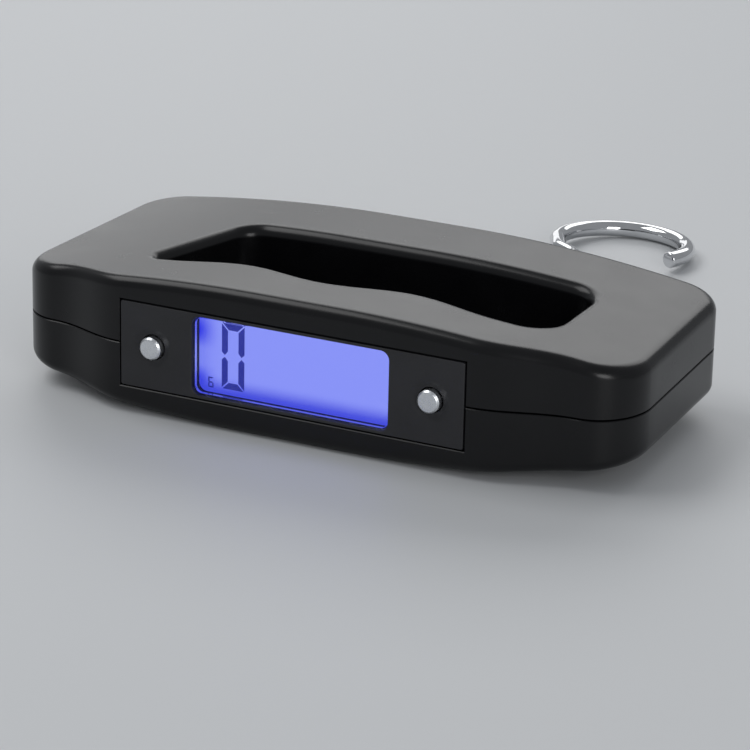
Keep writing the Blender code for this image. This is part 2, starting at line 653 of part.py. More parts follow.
def torus_mesh(centre, axis, ring_radius, wire_radius, ring_steps=28, wire_steps=10):
    bm = bmesh.new()
    circle = bmesh.ops.create_circle(bm, segments=wire_steps, radius=wire_radius * MM,
                                     matrix=Matrix.Translation((ring_radius * MM, 0, 0))
                                     @ Matrix.Rotation(math.pi / 2, 4, "X"))
    bmesh.ops.spin(bm, geom=circle["verts"] + bm.edges[:], axis=(0, 0, 1), cent=(0, 0, 0),
                   angle=2 * math.pi, steps=ring_steps, use_merge=True)
    bmesh.ops.remove_doubles(bm, verts=bm.verts, dist=MERGE)
    turn = Vector((0, 0, 1)).rotation_difference(Vector(axis)).to_matrix().to_4x4()
    bmesh.ops.transform(bm, matrix=Matrix.Translation(place(*centre)) @ turn, verts=bm.verts)
    return bm


def torus_cutter(name, centre, axis, ring_radius, wire_radius):
    return add_object(name, torus_mesh(centre, axis, ring_radius, wire_radius), cutter=True)


# ---------------------------------------------------------------- hook and its ring
def ring_and_hook():
    along = Vector((0, math.cos(LINK_DROOP), -math.sin(LINK_DROOP)))
    centre = Vector((0, EYE_Y, MID_Z)) + along * LINK_RING
    normal = Vector((1, 0, 0)).cross(along)
    add_object("hook_ring", torus_mesh(centre, normal, LINK_RING, LINK_WIRE), CHROME, holder=RING_PIVOT)

    pull = Vector((math.sin(HOOK_YAW) * math.cos(HOOK_DROOP), math.cos(HOOK_YAW) * math.cos(HOOK_DROOP),
                   -math.sin(HOOK_DROOP)))
    side = Vector((math.cos(HOOK_YAW), -math.sin(HOOK_YAW), 0))
    up = side.cross(pull)
    shank = HOOK_REACH / math.cos(HOOK_DROOP)

    eye_turn = [math.radians(a) for a in range(26, 321, 14)]
    route = [(0, math.cos(a) * HOOK_EYE_RING, math.sin(a) * HOOK_EYE_RING) for a in eye_turn]
    route += [(0, HOOK_EYE_RING + 2.6, -1.3), (0, HOOK_EYE_RING + 5.2, -0.3)]
    straight_end = shank - HOOK_BEND - 9.0
    straight_start = HOOK_EYE_RING + 8.0
    straight_middle = (straight_start + straight_end) / 2
    route += [(0, y, 0) for y in (straight_start, straight_middle, straight_end)]
    neck_knots = [(0, straight_end, 0), (-2.2, straight_end + 6.5, 0), (-8.6, straight_end + 10.6, 0),
                  bend_point(shank, BEND_START)]
    neck = smooth_route(neck_knots, 3)[1:-1]
    route += [tuple(point) for point in neck]
    route += [bend_point(shank, angle) for angle in range(BEND_START, BEND_END, -9)]
    points = [HOOK_EYE + side * x + pull * y + up * z for x, y, z in route]
    tube("hook", points, HOOK_WIRE, CHROME, holder=HOOK_PIVOT)


def bend_point(shank, degrees):
    """A point on the hook's round bend, in the hook's own (side, pull, up) directions."""
    angle = math.radians(degrees)
    return (HOOK_BEND * math.cos(angle), shank + HOOK_BEND * math.sin(angle), 0)


# ---------------------------------------------------------------- batteries, contacts, leads, screws
def battery_group():
    wide, narrow, rise = SPRING_COIL
    pip_radius, pip_height = CELL_PIP
    shoulder = CELL_FAR - pip_height
    profile = [(0, CELL_FAR), (pip_radius, CELL_FAR), (pip_radius, shoulder), (CELL_RADIUS - 0.3, shoulder),
               (CELL_RADIUS, shoulder - 0.3), (CELL_RADIUS, CELL_NEAR + 0.3), (CELL_RADIUS - 0.3, CELL_NEAR),
               (0, CELL_NEAR)]
    for side, x in CELL_X.items():
        turned(f"battery_cell_{side}", profile, (x, 0, CELL_Z), Y_AXIS, CELL_JACKET)
        coil = []
        for i in range(41):
            t = i / 40
            turn = 2 * math.pi * SPRING_TURNS * t
            radius = wide + (narrow - wide) * t
            coil.append((x + radius * math.cos(turn), SPRING_PLATE_Y + 1.0 + rise * t,
                         CELL_Z + radius * math.sin(turn)))
        tube(f"battery_spring_{side}", coil, SPRING_WIRE, CHROME, resolution=1)
        for name, y in (("spring_plate", SPRING_PLATE_Y), ("contact_plate", CELL_FAR + GAP)):
            box(f"{name}_{side}", (x - PLATE_HALF, y, CELL_Z - PLATE_HALF),
                (x + PLATE_HALF, y + PLATE_THICK, CELL_Z + PLATE_HALF + 1.2), CHROME)


def leads():
    for (side, sx), colour in zip(SIDES, (LEAD_RED, LEAD_BLACK)):
        x = CELL_X[side]
        knots = [(x, SPRING_PLATE_Y + 0.2, LEAD_Z), (x - sx * 5, 10.5, LEAD_Z + 1.5),
                 (x - sx * 12, 12.2, LEAD_Z + 1.0), (x - sx * 20, 12.0, LEAD_Z - 2.0),
                 (x - sx * 25.5, 11.0, LEAD_Z - 4.0)]
        tube(f"battery_lead_{side}", smooth_route(knots), LEAD_RADIUS, colour)

    start, end = CELL_X["left"], CELL_X["right"]
    far = CELL_FAR + GAP
    knots = [(start, far, LEAD_Z), (start + 4.1, 55.5, 22.3), (-47.5, 53.2, 24.7), (-38, 52.3, 25.9),
             (-20, 52.2, 26.6), (0, 52.2, 26.8), (20, 52.2, 26.6), (38, 52.3, 25.9),
             (50, 53, 24.6), (end - 4.1, 55.5, 22.3), (end, far, LEAD_Z)]
    tube("series_lead", smooth_route(knots, 4), LEAD_RADIUS, LEAD_BLACK)

    knots = [(-20, 46.6, 21.0), (-24, 47.2, 23.6), (-42, 47.3, 23.4), (-48.4, 46.2, 22.4),
             (-50.2, 41.5, 21.6), (-50.4, 30, 21.2), (-50.4, 19, 21.4), (-48.5, 13.2, 22.6),
             (-43, 12.0, 22.2), (-35, 11.2, 20.5)]
    tube("gauge_lead", smooth_route(knots, 4), 0.7, LEAD_GREY)


def case_screws():
    under = SCREW_HEAD_UNDER
    profile = [(0, SCREW_END), (0.5, SCREW_END), (SCREW_RADIUS, SCREW_END - 1.5), (SCREW_RADIUS, under),
               (SCREW_HEAD_RADIUS, under), (SCREW_HEAD_RADIUS, under - 1.2),
               (SCREW_HEAD_RADIUS - 0.7, under - 1.8), (0, under - 1.8)]
    for number, (x, y) in enumerate(CASE_SCREWS, start=1):
        turned(f"case_screw_{number}", profile, (x, y, 0), Z_AXIS, STEEL, 16)


shells()
display_group()
button_group("unit", -BUTTON_X)
button_group("tare", BUTTON_X)
load_cell_group()
ring_and_hook()
battery_group()
leads()
case_screws()
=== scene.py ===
"""Looks of a digital luggage scale: black grip frame, lit readout, two metal buttons and a steel hook.

Sizes are in millimetres, with y measured from the face of the display panel; at() turns them into metres.
+X runs along the grip frame, -Y is the readout's edge, +Y the hook's, and +Z is the front face.
"""
import math

import bmesh
import bpy
from mathutils import Matrix, Vector


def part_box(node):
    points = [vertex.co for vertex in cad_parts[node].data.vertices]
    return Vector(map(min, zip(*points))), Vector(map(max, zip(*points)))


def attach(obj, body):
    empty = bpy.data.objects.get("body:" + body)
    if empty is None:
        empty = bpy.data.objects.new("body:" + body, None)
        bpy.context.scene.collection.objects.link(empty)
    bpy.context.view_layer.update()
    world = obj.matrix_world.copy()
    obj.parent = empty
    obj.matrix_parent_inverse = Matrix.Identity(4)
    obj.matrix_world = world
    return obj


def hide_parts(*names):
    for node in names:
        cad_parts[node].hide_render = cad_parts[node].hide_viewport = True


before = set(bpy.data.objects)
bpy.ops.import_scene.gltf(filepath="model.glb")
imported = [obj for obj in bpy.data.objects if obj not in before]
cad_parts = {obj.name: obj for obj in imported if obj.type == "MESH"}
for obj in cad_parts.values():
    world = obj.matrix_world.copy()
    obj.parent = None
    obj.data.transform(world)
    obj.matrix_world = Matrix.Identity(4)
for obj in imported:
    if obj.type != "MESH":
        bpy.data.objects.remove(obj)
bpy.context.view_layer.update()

# ---------------------------------------------------------------- driving sizes (mm)
MM = 0.001
PANEL_LOW, PANEL_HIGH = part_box("display_panel")
PANEL_X = (PANEL_LOW.x + PANEL_HIGH.x) / 2
FACE_Y = PANEL_LOW.y
THICKNESS = 31.0
MID_Z = THICKNESS / 2
WALL = 2.2
GAP = 0.3
RIM_RADIUS = 2.5
CROWN_FLAT = 9.3
CROWN_RATE = 0.00135

DEPTH = 66.0
PANEL_HALF = 39.5
SHOULDER_END = 62.0
SHOULDER_DROP = 4.8
NEAR_CORNER_Y = 17.4
SIDE_X_NEAR = 72.6
SIDE_X_FAR = 71.0
FAR_CORNER_RADIUS = 9.5
FAR_BOW = 1.2
LEFT_CUT = 3.4

OPENING_HALF = 50.2
OPENING_NEAR = 16.2
OPENING_FAR = 43.5
OPENING_WAVE = 3.0
WAVE_END = 40.0
OPENING_NEAR_RADIUS = 7.0
OPENING_FAR_RADIUS = 6.5
LEFT_WALL_NEAR = -41.2
LEFT_WALL_FAR = -32.0
LEFT_NEAR_RADIUS = 2.0
LEFT_FAR_RADIUS = 6.0
LEFT_WAVE_END = 38.0

PANEL_HEIGHT = 18.6
PANEL_PLATE = 2.5
FLANGE_THICK = 1.1
WINDOW_HALF = 22.6
WINDOW_HEIGHT = 17.2
WINDOW_RADIUS = 1.9
LENS_FRONT = 0.8
LENS_THICK = 1.2
READOUT_FRONT = 3.9

BUTTON_X = 32.0
BUTTON_RADIUS = 2.5
BUTTON_PROUD = 1.3
BUTTON_FLANGE = 3.6
BUTTON_FLANGE_THICK = 0.7
BUTTON_STEM = 1.4
BUTTON_STEM_LENGTH = 2.0
CAP_EDGE = ((0.0, 0.62), (0.03, 0.5), (0.1, 0.42), (0.36, 0.14), (0.43, 0.07), (0.52, 0.04))
DISH_RADIUS = 4.3
DISH_DEPTH = 0.55
DISH_ROLL = 0.5
PANEL_CUT = 6.0

BUSH_NECK = 5.2
BUSH_LIP = 6.6
BUSH_START = 61.6
BUSH_HOLE = (61.0, 70.0)
BOLT_RADIUS = 2.5
BOLT_START = 48.3
EYE_Y = 75.2
EYE_RING = 5.0
EYE_WIRE = 1.9
LINK_RING = 8.0
LINK_WIRE = 1.5
HOOK_WIRE = 1.95
HOOK_EYE_RING = 5.0
HOOK_BEND = 15.7
HOOK_CENTRE = (12.3, 150.6)
HOOK_BEND_START = 208
HOOK_BEND_TIP = -14
REST_LIFT = 0.05

CELL_X = {"left": -58.2, "right": 61.6}
DOOR_HALF = 6.6
DOOR_NEAR = 15.0
DOOR_FAR = 55.0
DOOR_RADIUS = 1.6
GRIP_BARS = 3
GRIP_START = 4.0
GRIP_PITCH = 1.6
GRIP_RADIUS = 0.45
GRIP_HALF = 3.6
GRIP_SINK = 0.15
CASE_SCREWS = ((-46.0, 6.8), (46.0, 6.8), (-40.0, 60.6), (40.0, 60.6))
SCREW_RADIUS = 1.4
SCREW_HEAD_RADIUS = 2.5
SCREW_TIP = 20.0
SCREW_TAPER = 18.5
SCREW_HEAD_SEAT = 6.9
SCREW_FACE = 5.1
SCREW_HEAD_EDGE = ((0.0, 5.9), (0.15, 5.55), (0.5, 5.27), (1.1, 5.13))
WELL_FLOOR = 7.2
WELL_CHAMFER = 0.4
SCREW_HOLE_END = 24.5
BOSS_RADIUS = 3.0
BOSS_END = MID_Z + 8
SIDES = (("left", -1), ("right", 1))
X_AXIS, Y_AXIS, Z_AXIS = Vector((1, 0, 0)), Vector((0, 1, 0)), Vector((0, 0, 1))


def at(x, y, z):
    """A point given in the design's millimetres, in the frame's metres."""
    return Vector((PANEL_X + x * MM, FACE_Y + y * MM, z * MM))


# ---------------------------------------------------------------- camera, beyond the readout's edge
CAMERA_PLACE = (0.2983, -0.6623, 0.2535)
CAMERA_YAW = math.radians(25.84)
CAMERA_PITCH = math.radians(20.05)
CAMERA_ROLL = math.radians(1.25)
CAMERA_LENS = 163.06
CAMERA_SENSOR = 36.0
CAMERA_CLIP = 0.05


def make_camera():
    data = bpy.data.cameras.new("studio_camera")
    data.lens = CAMERA_LENS
    data.sensor_width = CAMERA_SENSOR
    data.clip_start = CAMERA_CLIP
    camera = bpy.data.objects.new("studio_camera", data)
    bpy.context.scene.collection.objects.link(camera)
    turn = Matrix.Rotation(CAMERA_YAW, 4, "Z") @ Matrix.Rotation(math.pi / 2 - CAMERA_PITCH, 4, "X")
    turn = turn @ Matrix.Rotation(CAMERA_ROLL, 4, "Z")
    camera.matrix_world = Matrix.Translation(CAMERA_PLACE) @ turn
    bpy.context.scene.camera = camera


# ---------------------------------------------------------------- materials
def linear(hex_colour):
    """An sRGB hex colour as linear RGBA."""
    channels = [int(hex_colour[i:i + 2], 16) / 255 for i in (1, 3, 5)]
    return (*[c / 12.92 if c <= 0.04045 else ((c + 0.055) / 1.055) ** 2.4 for c in channels], 1.0)


def per_mm(size):
    """The Scale of a noise or wave whose features are about size millimetres wide."""
    return 1 / (size * MM)


def add(tree, kind, settings=None, links=None):
    """Add a node. Settings name its sockets or properties; links joins other nodes' outputs to sockets."""
    made = tree.nodes.new(kind)
    for name, value in (settings or {}).items():
        if isinstance(name, int) or name in made.inputs:
            made.inputs[name].default_value = value
        else:
            setattr(made, name, value)
    for name, output in (links or {}).items():
        tree.links.new(output, made.inputs[name])
    return made


def new_material(name, settings):
    """A material on a Principled shader; returns it with its tree, its shader and object coordinates."""
    made = bpy.data.materials.new(name)
    made.use_nodes = True
    tree = made.node_tree
    shader = tree.nodes["Principled BSDF"]
    for socket, value in settings.items():
        shader.inputs[socket].default_value = value
    coords = add(tree, "ShaderNodeTexCoord").outputs["Object"]
    return made, tree, shader, coords


def grained(name, settings, grain, depth, rough, tint, patch=9.0):
    """A surface with a fine grain in relief, and slow changes in gloss and colour, both from noise.

    grain is the grain's size and depth its relief in mm; rough is the lowest and highest roughness;
    tint is the pair of hex colours that the patches run between, and patch is their size in mm."""
    made, tree, shader, coords = new_material(name, settings)
    fine = add(tree, "ShaderNodeTexNoise", {"Scale": per_mm(grain), "Detail": 2.0, "Roughness": 0.6},
               {"Vector": coords})
    slow = add(tree, "ShaderNodeTexNoise", {"Scale": per_mm(patch), "Detail": 3.0}, {"Vector": coords})
    mixed = add(tree, "ShaderNodeMix", {"data_type": "FLOAT", "Factor": 0.35},
                {"A": slow.outputs["Fac"], "B": fine.outputs["Fac"]})
    gloss = add(tree, "ShaderNodeMapRange", {"From Min": 0.3, "From Max": 0.7, "To Min": rough[0],
                                             "To Max": rough[1]}, {"Value": mixed.outputs["Result"]})
    tree.links.new(gloss.outputs["Result"], shader.inputs["Roughness"])
    ramp = add(tree, "ShaderNodeValToRGB", links={"Fac": mixed.outputs["Result"]})
    for stop, place, colour in zip(ramp.color_ramp.elements, (0.35, 0.65), tint):
        stop.position = place
        stop.color = linear(colour)
    tree.links.new(ramp.outputs["Color"], shader.inputs["Base Color"])
    relief = add(tree, "ShaderNodeBump", {"Strength": 1.0, "Distance": depth * MM},
                 {"Height": fine.outputs["Fac"]})
    tree.links.new(relief.outputs["Normal"], shader.inputs["Normal"])
    return made


def black_abs():
    """Injection-moulded ABS from a finely eroded mould: deep black, with a soft satin sheen on its rims.
    The real grain is about 0.05 mm; it is drawn at 0.3 mm so that it just shows."""
    return grained("moulded_black_abs", {"IOR": 1.53, "Specular IOR Level": 0.3}, 0.3, 0.0015, (0.23, 0.28),
                   ("#08080a", "#0c0c0e"))


def panel_abs():
    """The panel's ABS comes from a coarser mould, so it is greyer than the shells and its grain shows."""
    return grained("eroded_panel_abs", {"IOR": 1.53}, 0.42, 0.016, (0.42, 0.54), ("#18181b", "#222226"))


def chrome_plate():
    """Chromium plate on polished steel wire: a mirror with a faint haze from handling."""
    return grained("chrome_plate", {"Metallic": 1.0}, 1.2, 0.0012, (0.045, 0.1), ("#d3d4d6", "#dcdddf"), 5.0)


def nickel_cap():
    """Tumbled nickel on the button caps: bright, with the small dull pits that tumbling leaves."""
    return grained("tumbled_nickel", {"Metallic": 1.0}, 0.32, 0.02, (0.2, 0.42), ("#dfe2e6", "#eceef1"), 0.9)


def zinc_plate():
    """Blue zinc plate on screws and nuts: bright but cloudy."""
    return grained("zinc_plate", {"Metallic": 1.0}, 0.5, 0.006, (0.24, 0.4), ("#a3a6ab", "#b6b9bd"), 2.0)


def spring_steel():
    """Nickel-plated spring strip and wire, rolled smooth."""
    return grained("nickelled_spring_steel", {"Metallic": 1.0}, 0.6, 0.003, (0.18, 0.3),
                   ("#b9b9b7", "#cbcbc9"), 3.0)


def milled_aluminium():
    """Milled aluminium beam: fine straight tool marks along its length."""
    made, tree, shader, coords = new_material("milled_aluminium",
                                              {"Metallic": 1.0, "Base Color": linear("#c2c4c6")})
    stretched = add(tree, "ShaderNodeMapping", {"Scale": (0.04, 1.0, 1.0)}, {"Vector": coords})
    marks = add(tree, "ShaderNodeTexNoise", {"Scale": per_mm(0.35), "Detail": 2.0},
                {"Vector": stretched.outputs["Vector"]})
    gloss = add(tree, "ShaderNodeMapRange", {"To Min": 0.28, "To Max": 0.46}, {"Value": marks.outputs["Fac"]})
    relief = add(tree, "ShaderNodeBump", {"Distance": 0.01 * MM}, {"Height": marks.outputs["Fac"]})
    tree.links.new(gloss.outputs["Result"], shader.inputs["Roughness"])
    tree.links.new(relief.outputs["Normal"], shader.inputs["Normal"])
    return made


def clear_acrylic():
    """Clear acrylic window with a polished face, through which the readout shows its own colour."""
    made, _, _, _ = new_material("clear_acrylic", {"Transmission Weight": 1.0, "Roughness": 0.02, "IOR": 1.2,
                                                   "Base Color": linear("#f4f5ff")})
    return made


READOUT_BLUE = "#8c97f6"
READOUT_DEEP = "#2a34e4"
READOUT_EDGE = "#4049dc"


def lit_readout():
    """Liquid crystal over an edge-lit diffuser: an even blue-violet that deepens where the light enters.
    The light enters in two spots at the -X end, and the lower edge is shaded by the bezel."""
    made, tree, shader, coords = new_material("lit_liquid_crystal",
                                              {"Base Color": linear("#05060c"), "Roughness": 0.25,
                                               "Emission Strength": 1.0})
    split = add(tree, "ShaderNodeSeparateXYZ", links={"Vector": coords})
    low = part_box("lcd_glass")[0]
    end = add(tree, "ShaderNodeMapRange", {"From Min": low.x + 0.6 * MM, "From Max": low.x + 6.5 * MM,
                                           "interpolation_type": "SMOOTHSTEP"}, {"Value": split.outputs["X"]})
    spots = add(tree, "ShaderNodeMath", {"operation": "SINE"},
                {0: add(tree, "ShaderNodeMath", {"operation": "MULTIPLY", 1: 2 * math.pi / (11.5 * MM)},
                        {0: split.outputs["Z"]}).outputs["Value"]})
    deeper = add(tree, "ShaderNodeMapRange",
                 {"From Min": -1.0, "From Max": 0.6, "To Min": 1.0, "To Max": 0.25},
                 {"Value": spots.outputs["Value"]})
    shade = add(tree, "ShaderNodeMath", {"operation": "SUBTRACT", 0: 1.0, "use_clamp": True},
                {1: end.outputs["Result"]})
    blotch = add(tree, "ShaderNodeMath", {"operation": "MULTIPLY"},
                 {0: shade.outputs["Value"], 1: deeper.outputs["Result"]})
    foot = add(tree, "ShaderNodeMapRange",
               {"From Min": low.z + 1.2 * MM, "From Max": low.z + 5.2 * MM, "To Min": 0.95, "To Max": 0.0,
                "interpolation_type": "SMOOTHSTEP"},
               {"Value": split.outputs["Z"]})
    body = add(tree, "ShaderNodeMix", {"data_type": "RGBA", 6: linear(READOUT_BLUE), 7: linear(READOUT_DEEP)},
               {"Factor": blotch.outputs["Value"]})
    colour = add(tree, "ShaderNodeMix", {"data_type": "RGBA", 7: linear(READOUT_EDGE)},
                 {"Factor": foot.outputs["Result"], 6: body.outputs[2]})
    tree.links.new(colour.outputs[2], shader.inputs["Emission Color"])
    return made


def dark_segment():
    """A switched-on liquid crystal segment: navy, because some of the light comes through it."""
    made, tree, shader, coords = new_material("switched_segment",
                                              {"Base Color": linear("#0a0c30"), "Roughness": 0.4,
                                               "Emission Strength": 1.0})
    cloud = add(tree, "ShaderNodeTexNoise", {"Scale": per_mm(2.5)}, {"Vector": coords})
    colour = add(tree, "ShaderNodeMix", {"data_type": "RGBA", 6: linear("#1e2789"), 7: linear("#28319a")},
                 {"Factor": cloud.outputs["Fac"]})
    tree.links.new(colour.outputs[2], shader.inputs["Emission Color"])
    return made


def make_materials():
    return {
        "shell_plastic": black_abs(),
        "panel_plastic": panel_abs(),
        "polished_chrome": chrome_plate(),
        "button_metal": nickel_cap(),
        "zinc_steel": zinc_plate(),
        "spring_steel": spring_steel(),
        "beam_aluminium": milled_aluminium(),
        "lens_acrylic": clear_acrylic(),
        "display_glass": lit_readout(),
        # backlight diffuser: milky acrylic with a faint moulded mottle
        "light_diffuser": grained("milky_acrylic", {"Subsurface Weight": 0.2}, 0.8, 0.004, (0.35, 0.5),
                                  ("#8d93ef", "#9aa0f5")),
        # holder: white ABS, slightly yellowed
        "holder_plastic": grained("moulded_white_abs", {}, 0.4, 0.006, (0.4, 0.52), ("#dfddd4", "#e7e6df")),
        # bush and contact strip: moulded rubber with a chalky bloom
        "rubber_black": grained("moulded_rubber", {}, 0.5, 0.01, (0.62, 0.8), ("#131313", "#1b1b1c"), 4.0),
        # board: glossy green solder mask over glass cloth
        "board_laminate": grained("solder_mask", {"Coat Weight": 0.3}, 0.6, 0.005, (0.28, 0.4),
                                  ("#0f4a22", "#145a2b")),
        "epoxy_black": grained("moulded_epoxy", {}, 0.4, 0.006, (0.4, 0.52), ("#0c0c0c", "#141414")),
        # cells: plain printed film shrunk over the can
        "cell_jacket": grained("shrunk_film", {"Coat Weight": 0.4}, 1.5, 0.004, (0.2, 0.3),
                               ("#24374f", "#2c415c")),
        "silicone_white": grained("silicone", {"Subsurface Weight": 0.1}, 0.7, 0.02, (0.45, 0.6),
                                  ("#d8d8d2", "#e6e6e0")),
        "lead_red": grained("red_pvc", {}, 0.7, 0.004, (0.35, 0.45), ("#8f1613", "#a11c17")),
        "lead_black": grained("black_pvc", {}, 0.7, 0.004, (0.35, 0.45), ("#101011", "#18181a")),
        "lead_grey": grained("grey_pvc", {}, 0.7, 0.004, (0.4, 0.5), ("#6c6c70", "#7a7a7e")),
    }


# ---------------------------------------------------------------- making pieces
MATERIALS = make_materials()


def piece(name, bm, slot, body, *replaced, sharp=32):
    """Turn a bmesh into a finished piece that rides on a body and stands for CAD nodes."""
    mesh = bpy.data.meshes.new(name)
    bm.to_mesh(mesh)
    bm.free()
    made = bpy.data.objects.new(name, mesh)
    bpy.context.scene.collection.objects.link(made)
    mesh.materials.append(MATERIALS[slot])
    mesh.shade_smooth()
    mesh.set_sharp_from_angle(angle=math.radians(sharp))
    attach(made, body)
    if replaced:
        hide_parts(*replaced)
    return made


def closed(bm):
    """Merge doubles and turn the faces outwards."""
    bmesh.ops.remove_doubles(bm, verts=bm.verts, dist=0.002 * MM)
    bmesh.ops.recalc_face_normals(bm, faces=bm.faces)
    return bm


def carved(bm, *steps):
    """The bmesh after booleans; each step is an operation and the bmesh of the other solid."""
    helpers = []
    for solid in [bm] + [other for _, other in steps]:
        mesh = bpy.data.meshes.new("helper")
        solid.to_mesh(mesh)
        solid.free()
        helpers.append(bpy.data.objects.new("helper", mesh))
        bpy.context.scene.collection.objects.link(helpers[-1])
    for (operation, _), other in zip(steps, helpers[1:]):
        step = helpers[0].modifiers.new(operation, "BOOLEAN")
        step.object = other
        step.operation = operation
        step.solver = "EXACT"
    bpy.context.view_layer.update()
    result = bmesh.new()
    result.from_mesh(helpers[0].evaluated_get(bpy.context.evaluated_depsgraph_get()).to_mesh())
    for helper in helpers:
        bpy.data.objects.remove(helper, do_unlink=True)
    return closed(result)


def swept(rows, ends=True, bm=None):
    """Extrude a closed ring of points through its rows; ends fills the first and last ring.

    Returns the bmesh and the last ring's edges."""
    bm = bm or bmesh.new()
    order = bm.verts.layers.int.get("order") or bm.verts.layers.int.new("order")
    ring = [bm.verts.new(point) for point in rows[0]]
    for number, vert in enumerate(ring):
        vert[order] = number
    edges = [bm.edges.new(pair) for pair in zip(ring, ring[1:] + ring[:1])]
    if ends:
        bmesh.ops.edgeloop_fill(bm, edges=edges)
    for row in rows[1:]:
        grown = bmesh.ops.extrude_edge_only(bm, edges=edges)["geom"]
        verts = {part for part in grown if isinstance(part, bmesh.types.BMVert)}
        for vert in verts:
            vert.co = row[vert[order]]
        edges = [part for part in grown
                 if isinstance(part, bmesh.types.BMEdge) and verts.issuperset(part.verts)]
    if ends:
        bmesh.ops.edgeloop_fill(bm, edges=edges)
    return bm, edges


def turned(profile, centre, axis, sides=64):
    """Spin (radius, height) pairs, which start and end on the axis, about an axis through centre."""
    bm = bmesh.new()
    line = [bm.verts.new((radius * MM, 0.0, height * MM)) for radius, height in profile]
    edges = [bm.edges.new(pair) for pair in zip(line, line[1:])]
    bmesh.ops.spin(bm, geom=line + edges, axis=(0, 0, 1), cent=(0, 0, 0), angle=2 * math.pi, steps=sides,
                   use_merge=True)
    turn = Z_AXIS.rotation_difference(Vector(axis)).to_matrix().to_4x4()
    bmesh.ops.transform(bm, matrix=Matrix.Translation(at(*centre)) @ turn, verts=bm.verts)
    return closed(bm)


def rod(centre, axis, radius, start, end, sides=48):
    return turned([(0, end), (radius, end), (radius, start), (0, start)], centre, axis, sides)


def ring(centre, axis, ring_radius, wire_radius, steps=96, sides=32):
    """A torus, spun from a circle."""
    bm = bmesh.new()
    upright = Matrix.Translation((ring_radius * MM, 0, 0)) @ Matrix.Rotation(math.pi / 2, 4, "X")
    circle = bmesh.ops.create_circle(bm, segments=sides, radius=wire_radius * MM, matrix=upright)
    bmesh.ops.spin(bm, geom=circle["verts"] + bm.edges[:], axis=(0, 0, 1), cent=(0, 0, 0), angle=2 * math.pi,
                   steps=steps, use_merge=True)
    turn = Z_AXIS.rotation_difference(Vector(axis)).to_matrix().to_4x4()
    bmesh.ops.transform(bm, matrix=Matrix.Translation(at(*centre)) @ turn, verts=bm.verts)
    return closed(bm)


def rounded_rectangle(half_x, half_z, radius, steps=8):
    """Corner-rounded rectangle about the middle of the panel, as (x, z) pairs."""
    points = []
    for quarter, (sx, sz) in enumerate(((1, 1), (-1, 1), (-1, -1), (1, -1))):
        for step in range(steps + 1):
            angle = math.pi / 2 * (quarter + step / steps)
            points.append((sx * (half_x - radius) + radius * math.cos(angle),
                           sz * (half_z - radius) + radius * math.sin(angle)))
    return points


def slab(half_x, half_z, radius, levels):
    """An upright rounded slab through the panel's plane; levels are (y, inset) pairs from front to back."""
    rows = []
    for y, inset in levels:
        outline = rounded_rectangle(half_x - inset, half_z - inset, max(radius - inset, 0.05))
        rows.append([at(x, y, MID_Z + z) for x, z in outline])
    return closed(swept(rows)[0])


def fillet(radius, steps=4):
    """(along, inset) pairs round a quarter-circle edge, from the face to the side."""
    angles = [math.pi / 2 * step / steps for step in range(steps + 1)]
    return [(radius * (1 - math.sin(angle)), radius * (1 - math.cos(angle))) for angle in reversed(angles)]


# ---------------------------------------------------------------- outlines of the grip frame
def arc(centre, radius_x, radius_y, start, end, steps):
    """Points on an elliptical arc, angles in degrees, the first point left out."""
    angles = [math.radians(start + (end - start) * step / steps) for step in range(1, steps + 1)]
    return [(centre[0] + radius_x * math.cos(angle), centre[1] + radius_y * math.sin(angle))
            for angle in angles]


def spread(start, end, steps):
    return [(start[0] + (end[0] - start[0]) * step / steps, start[1] + (end[1] - start[1]) * step / steps)
            for step in range(1, steps + 1)]


def rounded_corner(before, corner, after, radius, steps):
    """Points round one corner of an outline, on the arc that touches both of its sides."""
    corner = Vector(corner)
    back = (Vector(before) - corner).normalized()
    on = (Vector(after) - corner).normalized()
    half_angle = back.angle(on) / 2
    middle = corner + (back + on).normalized() * radius / math.sin(half_angle)
    start = corner + back * radius / math.tan(half_angle) - middle
    turn = Matrix.Rotation((math.pi - 2 * half_angle) / steps, 2)
    points = [start]
    for _ in range(steps):
        points.append(turn @ points[-1])
    return [tuple(middle + point) for point in points]


def joined(right, left):
    """Close an outline from its two halves, each of which starts and ends on x = 0."""
    return right + list(reversed(left[1:-1]))


def half_body(cut):
    """The right half of the frame's outline, with its end cut short."""
    straight_end = PANEL_HALF + 0.5
    shoulder_end = SHOULDER_END - cut
    half = [(0.0, 0.0)] + spread((0, 0), (straight_end, 0), 12)
    for step in range(1, 15):
        t = step / 14
        half.append((straight_end + t * (shoulder_end - straight_end),
                     SHOULDER_DROP * (1 - math.cos(math.pi * t)) / 2))
    half += arc((shoulder_end, NEAR_CORNER_Y), SIDE_X_NEAR - SHOULDER_END, NEAR_CORNER_Y - SHOULDER_DROP,
                -90, 0, 18)
    corner = (SIDE_X_FAR - cut - FAR_CORNER_RADIUS, DEPTH - FAR_BOW - FAR_CORNER_RADIUS)
    half += spread(half[-1], (SIDE_X_FAR - cut, corner[1]), 10)
    half += arc(corner, FAR_CORNER_RADIUS, FAR_CORNER_RADIUS, 0, 90, 16)
    for step in range(1, 21):
        x = corner[0] * (1 - step / 20)
        half.append((x, DEPTH - FAR_BOW * (x / corner[0]) ** 2))
    return half


def body_outline():
    return joined(half_body(0.0), [(-x, y) for x, y in half_body(LEFT_CUT)])


def opening_near_edge(wave_end):
    """The opening's near edge from x = 0 to where its wave ends."""
    return [(wave_end * step / 24, OPENING_NEAR + OPENING_WAVE * math.sin(math.pi * step / 24) ** 2)
            for step in range(25)]


